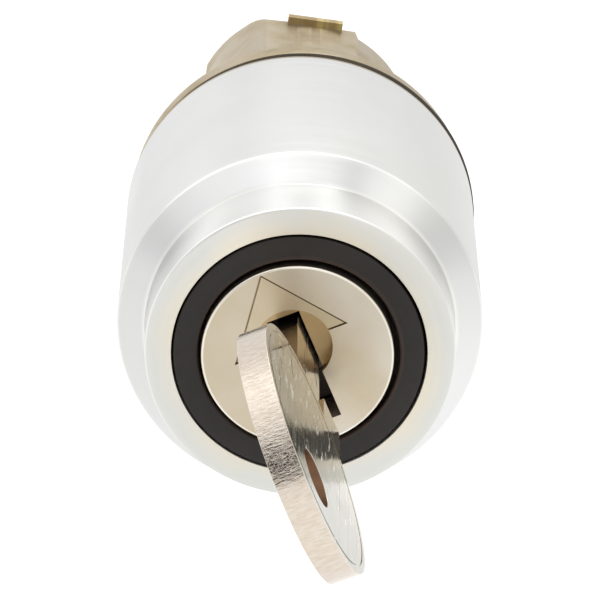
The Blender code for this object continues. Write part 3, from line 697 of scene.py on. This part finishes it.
def rounded(outline, default, closed):
    """The outline with its corners rounded. A corner is (radius, depth) or (radius, depth, rounding)."""
    corners = [(Vector(c[:2]), c[2] if len(c) > 2 else default) for c in outline]
    points = []
    for index, (corner, size) in enumerate(corners):
        ends = not closed and index in (0, len(corners) - 1)
        if ends or size <= 0:
            points.append(corner)
            continue
        before = corners[index - 1][0]
        after = corners[(index + 1) % len(corners)][0]
        back, on = (before - corner), (after - corner)
        reach = min(size, back.length * 0.45, on.length * 0.45)
        start, end = corner + back.normalized() * reach, corner + on.normalized() * reach
        points += [between(start, corner, end, step / CORNER_STEPS) for step in range(CORNER_STEPS + 1)]
    return points


def disc_outline(radius, steps, centre=(0.0, 0.0)):
    turns = [2 * math.pi * index / steps for index in range(steps)]
    return [(centre[0] + radius * math.cos(a), centre[1] + radius * math.sin(a)) for a in turns]


def box_outline(low, high):
    return [(low[0], low[1]), (high[0], low[1]), (high[0], high[1]), (low[0], high[1])]


def smooth(obj, angle):
    obj.data.shade_smooth()
    obj.data.set_sharp_from_angle(angle=math.radians(angle))


def finish_mesh(name, bm, finish, angle=35.0):
    """Makes an object of the shape. It is shaded smooth but for the edges sharper than the angle."""
    bmesh.ops.recalc_face_normals(bm, faces=bm.faces)
    mesh = bpy.data.meshes.new(name)
    bm.to_mesh(mesh)
    bm.free()
    mesh.materials.append(finish)
    obj = bpy.data.objects.new(name, mesh)
    bpy.context.scene.collection.objects.link(obj)
    smooth(obj, angle)
    return obj


def join_rings(bm, near, far):
    """The faces between two rings with the same number of points."""
    sides = []
    for index in range(len(near)):
        after = (index + 1) % len(near)
        sides.append(bm.faces.new([near[after], near[index], far[index], far[after]]))
    return sides


def turned(name, outline, finish, default=SMALL_ROUNDING, steps=ROUND, centre=(0.0, 0.0)):
    """A turned piece. Its outline runs down the outside, front to rear, and back up the inside."""
    hollow = outline[0][0] > 0
    bm = bmesh.new()
    rings = []
    for radius, depth in rounded(outline, default, hollow):
        if radius < 1e-6:
            rings.append([bm.verts.new(point(*centre, depth))])
        else:
            rings.append([bm.verts.new(point(x, y, depth)) for x, y in disc_outline(radius, steps, centre)])
    pairs = list(zip(rings, rings[1:]))
    if hollow:
        pairs.append((rings[-1], rings[0]))
    for upper, lower in pairs:
        for index in range(steps):
            after = (index + 1) % steps
            corners = [upper[index % len(upper)], lower[index % len(lower)]]
            corners += [lower[after % len(lower)], upper[after % len(upper)]]
            bm.faces.new(list(dict.fromkeys(corners)))
    return finish_mesh(name, bm, finish)


def slab(name, outline, front, rear, finish):
    """A flat outline of (x, y) corners given thickness between two depths."""
    bm = bmesh.new()
    front_ring = []
    rear_ring = []
    for x, y in map(Vector, outline):
        front_ring.append(bm.verts.new(point(x, y, front)))
        rear_ring.append(bm.verts.new(point(x, y, rear)))
    bm.faces.new(front_ring)
    bm.faces.new(rear_ring[::-1])
    join_rings(bm, front_ring, rear_ring)
    return finish_mesh(name, bm, finish)


def coil(name, radius, wire_radius, ends, turns, finish, centre):
    """A round-wire spring between two depths."""
    steps, sides = int(turns * 28), 10
    bm = bmesh.new()
    rings = []
    for index in range(steps + 1):
        angle = 2 * math.pi * turns * index / steps
        along = ends[0] + (ends[1] - ends[0]) * index / steps
        ring = []
        for out, rise in disc_outline(wire_radius, sides):
            x, y = (radius + out) * math.cos(angle), (radius + out) * math.sin(angle)
            ring.append(bm.verts.new(point(centre[0] + x, centre[1] + y, along + rise)))
        rings.append(ring)
    for first, second in zip(rings, rings[1:]):
        for side in range(sides):
            after = (side + 1) % sides
            bm.faces.new([first[side], second[side], second[after], first[after]])
    bm.faces.new(rings[0])
    bm.faces.new(rings[-1][::-1])
    return finish_mesh(name, bm, finish, 60.0)


def apply_modifiers(obj):
    bpy.context.view_layer.update()
    graph = bpy.context.evaluated_depsgraph_get()
    mesh = bpy.data.meshes.new_from_object(obj.evaluated_get(graph))
    obj.modifiers.clear()
    obj.data = mesh


def boolean(obj, tool, operation="DIFFERENCE"):
    """Applies a Boolean and removes its tool. The tool's material stays on the faces it makes."""
    step = obj.modifiers.new("boolean", "BOOLEAN")
    step.operation = operation
    step.object = tool
    step.material_mode = "TRANSFER"
    apply_modifiers(obj)
    bpy.data.objects.remove(tool, do_unlink=True)


def soften(obj, width, segments, angle):
    """Rounds the edges that are still sharp, and shades the result."""
    step = obj.modifiers.new("soften", "BEVEL")
    step.width = width * MM
    step.segments = segments
    step.limit_method = "ANGLE"
    step.angle_limit = math.radians(angle)
    step.miter_outer = "MITER_ARC"
    step.use_clamp_overlap = True
    apply_modifiers(obj)
    smooth(obj, 40.0)


def flatten(obj, *axes):
    """Shades the faces square to these axes flat, so that a rounded edge beside them leaves no wedges."""
    for face in obj.data.polygons:
        if any(abs(face.normal.dot(axis)) > 0.9995 for axis in axes):
            face.use_smooth = False


def repaint(obj, finish, chosen):
    """Gives the chosen faces a finish of their own."""
    obj.data.materials.append(finish)
    for face in obj.data.polygons:
        if chosen(face):
            face.material_index = len(obj.data.materials) - 1


def settle(obj, body, slot_name, *nodes):
    """Gives a finished piece its body and hides the CAD nodes it stands for. Its record slot is not used."""
    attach(obj, body)
    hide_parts(*nodes)
    return obj


# ---------------------------------------------------------------- pieces


def make_bezel(kit):
    outline = [
        (12.65, 0.0, 0.20), (12.80, 5.12, 0.10), (15.12, 6.30, 0.18), (15.15, 30.20, 0.14),
        (13.60, 30.20), (13.60, 8.20), (11.40, 7.20), (11.40, 1.60), (10.44, 1.60), (10.44, 0.0, 0.05),
    ]
    bezel = turned("bezel_turned", outline, kit["bezel"], steps=LARGE_ROUND)
    bore_reach = 10.9 * MM
    for vertex in bezel.data.vertices:
        if math.hypot(vertex.co.x, vertex.co.z) < bore_reach:
            vertex.co += Vector((BORE_PLAY[0] * MM, 0.0, BORE_PLAY[1] * MM))
    settle(bezel, "head", "polished_aluminium", "bezel")


def make_face_ring(kit):
    outline = [
        (10.27, 0.0, 0.22), (10.27, 1.90), (11.10, 1.90), (11.10, 3.00),
        (8.75, 3.00), (8.75, 1.20), (8.22, 0.60), (8.22, 0.0, 0.25),
    ]
    ring = turned("ring_moulded", outline, kit["ring"], steps=LARGE_ROUND, centre=RING_PLAY)
    settle(ring, "head", "black_plastic", "face_ring")


def make_gaskets(kit):
    outline = [(15.04, 30.35, 0.15), (15.04, 31.70, 0.2), (13.60, 31.70), (13.60, 30.35)]
    bezel_side = turned("bezel_gasket_ring", outline, kit["rubber"], centre=GASKET_PLAY)
    settle(bezel_side, "head", "rubber", "bezel_gasket")
    outline = [(13.60, 34.05, 0.3), (13.60, 35.25, 0.3), (11.80, 35.25), (11.80, 34.05)]
    panel_side = turned("panel_gasket_ring", outline, kit["rubber"])
    settle(panel_side, "head", "rubber", "panel_gasket")


def pad_outline():
    """The raised top of the barrel: an upright left side, an arc, a flat top and a short right chamfer."""
    radius, centre, arc_steps, corner_steps = 10.32, Vector((0.32, 1.13)), 24, 12
    first, last = math.radians(159.1), math.radians(130.5)
    corners = [Vector((-9.32, 2.50))]
    for index in range(arc_steps + 1):
        turn = first + (last - first) * index / arc_steps
        corners.append(centre + radius * Vector((math.cos(turn), math.sin(turn))))
    start, corner, end = corners[-1], Vector((-5.42, 9.95)), Vector((-4.50, 9.97))
    corners += [between(start, corner, end, (index + 1) / corner_steps) for index in range(corner_steps)]
    return corners + [Vector(c) for c in ((-2.60, 10.03), (3.71, 9.90), (4.02, 9.36), (8.00, 2.50))]


def make_body(kit):
    """The casting: a flange, a hollow barrel, the pad on its top and the lug at its rear."""
    outline = [
        (11.10, 4.40), (11.10, 8.00), (13.30, 9.00), (13.30, 31.90, 0.0), (14.85, 31.90, 0.12),
        (14.85, 33.75, 0.25), (10.15, 33.75, 0.0), (10.15, 54.00, 0.30), (9.55, 54.00), (9.55, 53.40),
        (9.85, 53.40), (9.85, 52.00), (9.55, 52.00), (9.55, 49.70), (9.20, 49.70), (9.20, 5.20),
        (10.20, 5.20), (10.20, 4.40),
    ]
    finish = kit["body"]
    body = turned("body_casting", outline, finish, steps=160)
    bore = disc_outline(9.98, 160)
    for name, block in (
        ("pad", slab("pad", pad_outline(), 33.55, 54.00, finish)),
        ("lug", slab("lug", box_outline((-2.56, 8.9), (2.42, 10.78)), 53.10, 53.98, finish)),
    ):
        boolean(block, slab(f"{name}_bore", bore, 30.0, 55.0, finish))
        boolean(body, block, "UNION")
    soften(body, 0.14, 3, 30.0)
    flatten(body, INTO, Vector((0.0, 0.0, 1.0)))
    settle(body, "head", "yellow_chromate", "operator_body")


def on_cap(outline):
    """The outline turned with the rotor, then moved with the cap."""
    spin = Matrix.Rotation(REST_TURN, 2)
    return [spin @ Vector(corner) + Vector(CAP_PLAY) for corner in outline]


def on_cap_edge(face):
    """Whether a face is on the rounding of the cap's front edge, which gets a painted highlight."""
    reach = math.hypot(face.center.x - CAP_PLAY[0] * MM, face.center.z - CAP_PLAY[1] * MM)
    return reach > (CAP_R - CAP_ROUNDING - 0.01) * MM and -0.99 < face.normal.y < -0.15


def make_cap(kit):
    """The lock face: an engraved arrow with a dark outline, a round recess and the key's slot."""
    outline = [(0.0, CAP_FRONT), (CAP_R, CAP_FRONT, CAP_ROUNDING), (CAP_R, 2.40), (7.26, 3.00), (0.0, 3.00)]
    cap = turned("cap_disc", outline, kit["cap"], steps=LARGE_ROUND, centre=CAP_PLAY)
    arrow = [(-5.01, 1.20), (4.88, 1.20), (-0.14, 7.72)]
    middle, inner_share = Vector((0.0, 3.30)), 0.945
    floor = [middle + (Vector(corner) - middle) * inner_share for corner in arrow]
    recess = disc_outline(3.20, 96, (0.0, 0.90))
    slot = box_outline((-1.4, -6.10), (1.4, 3.20))
    before = -2.0
    boolean(cap, slab("arrow_line_tool", on_cap(arrow), before, -0.36, kit["arrow_line"]))
    boolean(cap, slab("arrow_floor", on_cap(floor), -0.52, -0.20, kit["arrow"]), "UNION")
    boolean(cap, slab("recess_tool", on_cap(recess), before, 0.63, kit["recess"]))
    boolean(cap, slab("slot_tool", on_cap(slot), before, 4.0, kit["slot"]))
    soften(cap, 0.05, 2, 50.0)
    flatten(cap, INTO)
    # Painted highlight on the cap's rounded front edge.
    repaint(cap, kit["painted_edge_highlight"], on_cap_edge)
    settle(cap, "rotor", "nickel", "rotor_cap")


def bow_outline():
    """The bow and its shoulder as (height, depth)."""
    first, last, steps = math.acos(NECK_BOTTOM / BOW_R), math.acos(SHOULDER_BOTTOM / BOW_R), 220
    points = []
    for index in range(steps + 1):
        angle = -first + (2 * math.pi - last + first) * index / steps
        points.append((BOW_R * math.cos(angle), BOW_CENTRE - BOW_R * math.sin(angle)))
    return points + [(SHOULDER_BOTTOM, SHOULDER_DEPTH), (NECK_BOTTOM, SHOULDER_DEPTH)]


def blade_outline():
    """The neck and the blade, cut on both edges, as (height, depth)."""
    edge = [(BLADE_HALF, STEP_DEPTH)]
    for depth, deep in BLADE_CUTS:
        edge += [(BLADE_HALF, depth - 0.5 - deep), (BLADE_HALF - deep, depth - 0.5)]
        edge += [(BLADE_HALF - deep, depth + 0.5), (BLADE_HALF, depth + 0.5 + deep)]
    edge += [(BLADE_HALF, 23.3), (1.2, 24.5)]
    points = [(NECK_TOP, NECK_DEPTH), (NECK_BOTTOM, NECK_DEPTH), (NECK_BOTTOM, STEP_DEPTH)]
    points += [(-across, depth) for across, depth in edge]
    return points + edge[::-1] + [(NECK_TOP, STEP_DEPTH)]


def key_circle(radius, centre):
    """A circle round a depth on the key's middle line, as (height, depth)."""
    return [(x, centre - y) for x, y in disc_outline(radius, 96)]


def key_point(across, depth, thick):
    """A place on the key: height along the keyway, depth, and distance from its middle plane."""
    x, y = Matrix.Rotation(REST_TURN, 2) @ Vector((thick, across))
    return point(x, y, depth)


def key_slab(name, outline, sides, face, rim):
    """A flat piece of the key: its two faces and the edge between them."""
    bm = bmesh.new()
    near = [bm.verts.new(key_point(a, d, sides[1])) for a, d in outline]
    far = [bm.verts.new(key_point(a, d, sides[0])) for a, d in outline]
    bm.faces.new(near)
    bm.faces.new(far[::-1])
    for side in join_rings(bm, near, far):
        side.material_index = 1
    made = finish_mesh(name, bm, face)
    made.data.materials.append(rim)
    return made


def engrave_bow(key, finish):
    """Cuts a fine groove round both faces of the bow."""
    inner, outer = (key_circle(radius, BOW_CENTRE) for radius in BOW_GROOVE)
    low, high = BOW_SIDES
    for sides in ((high - BOW_GROOVE_DEEP, 3.0), (-3.0, low + BOW_GROOVE_DEEP)):
        groove = key_slab("groove_tool", outer, sides, finish, finish)
        boolean(groove, key_slab("groove_core", inner, (-4.0, 4.0), finish, finish))
        boolean(key, groove)


def crease_rim(key, across):
    """Keeps the shading of the key's edge apart from the rounding on both sides of it."""
    bm = bmesh.new()
    bm.from_mesh(key.data)
    for edge in bm.edges:
        leans = sorted(abs(face.normal.dot(across)) for face in edge.link_faces)
        if len(leans) == 2 and leans[0] < 0.05 < leans[1]:
            edge.smooth = False
    bm.to_mesh(key.data)
    bm.free()


def make_key(kit):
    """The blanked key: painted highlights on the rounded edges of its bow, and a painted shadow on the step
    where its blade enters the lock.
    """
    face, rim, wall = kit["key_face"], kit["key_rim"], kit["key_hole"]
    key = key_slab("key_blank", bow_outline(), BOW_SIDES, face, rim)
    boolean(key, key_slab("key_blade", blade_outline(), BLADE_SIDES, face, rim), "UNION")
    hole = key_circle(BOW_HOLE_R, BOW_HOLE_CENTRE)
    boolean(key, key_slab("key_hole_tool", hole, (-3.0, 3.0), wall, wall))
    soften(key, 0.13, 3, 40.0)
    engrave_bow(key, face)
    smooth(key, 30.0)
    across = Vector((math.cos(REST_TURN), 0.0, math.sin(REST_TURN)))
    flatten(key, across)
    crease_rim(key, across)
    bow_end, step_place = point(0.0, 0.0, -8.0).y, point(0.0, 0.0, STEP_DEPTH).y
    # Painted highlight on the rounded edges of the bow.
    repaint(
        key,
        kit["painted_edge_highlight"],
        lambda side: 0.20 < abs(side.normal.dot(across)) < 0.97 and side.center.y < bow_end,
    )
    # Painted shadow on the step where the blade enters the keyway.
    repaint(
        key,
        kit["slot"],
        lambda side: side.normal.y < -0.9 and abs(side.center.y - step_place) < 0.3 * MM,
    )
    settle(key, "key", "key_nickel", "key")


def make_plungers(kit):
    outline = [
        (0.0, 40.30), (0.36, 40.30, 0.15), (1.50, 41.50, 0.1), (2.30, 41.50, 0.15), (2.30, 42.50, 0.15),
        (1.50, 42.50, 0.05), (1.50, 53.50, 0.40), (0.0, 53.50),
    ]
    for side, sign in SIDES:
        centre = (sign * PLUNGER_CIRCLE_R, 0.0)
        rod = turned(f"push_rod_{side}", outline, kit["red_plastic"], 0.1, 64, centre)
        settle(rod, f"plunger_{side}", "red_plastic", f"plunger_{side}")
        spring = coil(f"push_spring_{side}", 2.05, 0.20, (43.0, 49.5), 4.5, kit["wire"], centre)
        settle(spring, "head", "spring_steel", f"plunger_spring_{side}")
        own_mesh(spring)


def make_rear_plate(kit):
    outline = [(9.25, 50.00), (9.25, 51.90, 0.25), (1.60, 51.90, 0.2), (1.60, 50.00)]
    finish = kit["black_plastic"]
    plate = turned("back_plate", outline, finish, 0.1, 128)
    for side, sign in SIDES:
        hole = disc_outline(1.80, 48, (sign * PLUNGER_CIRCLE_R, 0.0))
        boolean(plate, slab(f"plate_hole_{side}", hole, 49.0, 53.0, finish))
    soften(plate, 0.12, 2, 50.0)
    flatten(plate, INTO)
    settle(plate, "head", "black_plastic", "rear_plate")


def make_circlip(kit):
    outline = [(9.65, 52.30), (9.65, 53.10), (8.30, 53.10), (8.30, 52.30)]
    finish = kit["dark_steel"]
    ring = turned("snap_ring", outline, finish, 0.0, 160)
    boolean(ring, slab("ring_mouth", box_outline((-2.20, -11.0), (2.20, -7.0)), 51.0, 54.0, finish))
    soften(ring, 0.10, 2, 50.0)
    flatten(ring, INTO)
    settle(ring, "head", "steel", "rear_circlip")


# ---------------------------------------------------------------- the scene

# The finish of each record slot, for the CAD nodes that stay as they are.
SLOT_FINISHES = {
    "brass": "brass",
    "steel": "steel",
    "spring_steel": "wire",
    "black_plastic": "black_plastic",
    "white_plastic": "white_plastic",
    "red_plastic": "red_plastic",
    "rubber": "rubber",
}
# The nodes that get the plug finish, with its painted keyway shade.
KEYWAY_SHADE_NODES = ("lock_plug", "lock_shell")


def finish_cad_nodes(kit):
    for entry in frame["record"]["subparts"]:
        if entry["material_slot"] in SLOT_FINISHES:
            finish = "plug" if entry["node"] in KEYWAY_SHADE_NODES else SLOT_FINISHES[entry["material_slot"]]
            mesh = frame["nodes"][entry["node"]].data
            mesh.materials.clear()
            mesh.materials.append(kit[finish])


def main():
    make_camera()
    make_floor()
    make_light()
    kit = make_materials()
    make_bezel(kit)
    make_face_ring(kit)
    make_gaskets(kit)
    make_body(kit)
    make_cap(kit)
    make_key(kit)
    make_plungers(kit)
    make_rear_plate(kit)
    make_circlip(kit)
    finish_cad_nodes(kit)


main()
